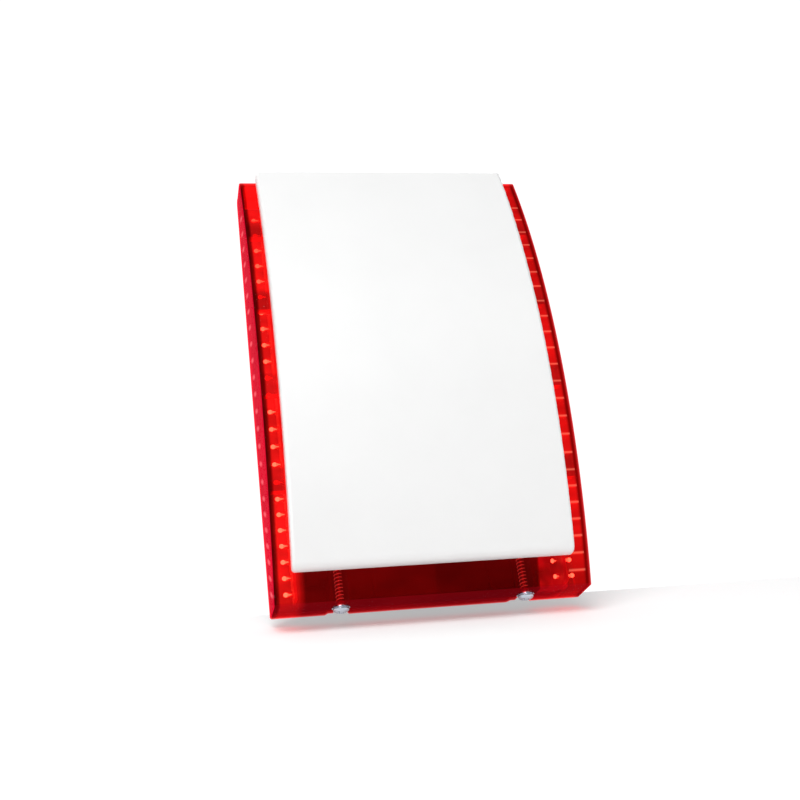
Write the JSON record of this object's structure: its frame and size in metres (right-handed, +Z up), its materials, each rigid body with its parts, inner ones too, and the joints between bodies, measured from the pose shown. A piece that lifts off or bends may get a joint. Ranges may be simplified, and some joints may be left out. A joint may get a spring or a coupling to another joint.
{
  "type": "alarm siren",
  "caption": "Wall-mounted outdoor alarm siren: bowed white front panel on a clear red LED-lit housing that swings up from a dark base with horn, battery and board.",
  "frame": {"origin": "centre of the four wall screws on the back plane, which lies against the wall", "axes": "+X right seen from the front, -Y out of the wall towards the viewer, +Z up"},
  "size_m": [0.2, 0.0585, 0.3138],
  "materials": {
    "red_lens": "clear red moulded polycarbonate, polished",
    "white_shell": "white moulded ABS, fine satin grain",
    "zinc_steel": "bright zinc plated",
    "mesh_steel": "woven stainless mesh",
    "base_plastic": "dark grey moulded ABS",
    "seal_rubber": "soft black rubber",
    "led_board": "white solder mask",
    "led_lens": "diffused lit LED epoxy",
    "circuit_board": "green solder mask on glass epoxy",
    "terminal_green": "green terminal housing",
    "black_plastic": "black moulded plastic",
    "capacitor_sleeve": "dark sleeve with bare top",
    "ferrite": "sintered ferrite",
    "copper_winding": "enamelled copper wire",
    "fuse_glass": "clear glass tube",
    "nickel": "nickel plated sheet",
    "white_nylon": "natural nylon",
    "battery_abs": "charcoal ABS battery case",
    "diaphragm_metal": "thin brass disc",
    "vial_clear": "clear acrylic",
    "level_fluid": "yellow-green spirit",
    "red_wire": "PVC insulation",
    "black_wire": "PVC insulation",
    "grey_wire": "PVC insulation"
  },
  "bodies": {
    "base": {"base_plate": "base_plastic", "battery_case": "battery_abs", "battery_lead_black": "black_wire", "battery_lead_red": "red_wire", "battery_strap": "nickel", "battery_terminals": "nickel", "battery_tray": "base_plastic", "cable_cover": "base_plastic", "cable_grommet": "seal_rubber", "capacitors": "capacitor_sleeve", "controller_chip": "black_plastic", "fuse": "fuse_glass", "fuse_clips": "nickel", "hinge_pins": "zinc_steel", "horn_bell": "black_plastic", "horn_bracket": "nickel", "horn_diaphragm": "diaphragm_metal", "horn_driver": "black_plastic", "horn_leads": "grey_wire", "horn_screws": "zinc_steel", "jumper_header": "black_plastic", "lead_sockets": "white_nylon", "led_board_left": "led_board", "led_board_right": "led_board", "led_carrier_left": "base_plastic", "led_carrier_right": "base_plastic", "led_lead_left": "grey_wire", "led_lead_right": "grey_wire", "leds_left": "led_lens", "leds_right": "led_lens", "level_fluid": "level_fluid", "level_vial": "vial_clear", "main_pcb": "circuit_board", "pcb_screws": "zinc_steel", "phase_plug": "black_plastic", "pilot_leds": "led_lens", "relay": "black_plastic", "strap_screws": "zinc_steel", "tamper_spring": "zinc_steel", "tamper_switch_body": "black_plastic", "terminal_block": "terminal_green", "terminal_screws": "zinc_steel", "transformer_core": "ferrite", "transformer_winding": "copper_winding", "wall_gasket": "seal_rubber"},
    "cover": {"lens_housing": "red_lens", "front_panel": "white_shell", "panel_screws": "zinc_steel", "grille_mesh": "mesh_steel"},
    "tamper_button": {"tamper_plunger": "white_nylon"},
    "washer_left": {"cover_washer_left": "zinc_steel"},
    "screw_left": {"cover_screw_left": "zinc_steel"},
    "washer_right": {"cover_washer_right": "zinc_steel"},
    "screw_right": {"cover_screw_right": "zinc_steel"}
  },
  "joints": [
    {"name": "cover_hinge", "type": "hinge", "parent": "base", "child": "cover", "pos_m": [0, -0.0035, 0.149], "axis": [-1, 0, 0], "range_deg": [0, 75]},
    {"name": "tamper_press", "type": "slide", "parent": "base", "child": "tamper_button", "axis": [0, 1, 0], "range_m": [0, 0.0015], "stiffness_N_per_m": 300, "springref_m": -0.001, "deforming": ["tamper_spring"]},
    {"name": "screw_left_travel", "type": "slide", "parent": "base", "child": "washer_left", "axis": [0, 0, -1], "range_m": [0, 0.00896]},
    {"name": "screw_left_turn", "type": "hinge", "parent": "washer_left", "child": "screw_left", "pos_m": [-0.0585, -0.018, -0.15], "axis": [0, 0, -1], "range_deg": [0, 1440]},
    {"name": "screw_right_travel", "type": "slide", "parent": "base", "child": "washer_right", "axis": [0, 0, -1], "range_m": [0, 0.00896]},
    {"name": "screw_right_turn", "type": "hinge", "parent": "washer_right", "child": "screw_right", "pos_m": [0.0585, -0.018, -0.15], "axis": [0, 0, -1], "range_deg": [0, 1440]}
  ],
  "couplings": [
    {"joint": "screw_left_turn", "follows": "screw_left_travel", "rad_per_m": 2805},
    {"joint": "screw_right_turn", "follows": "screw_right_travel", "rad_per_m": 2805}
  ]
}
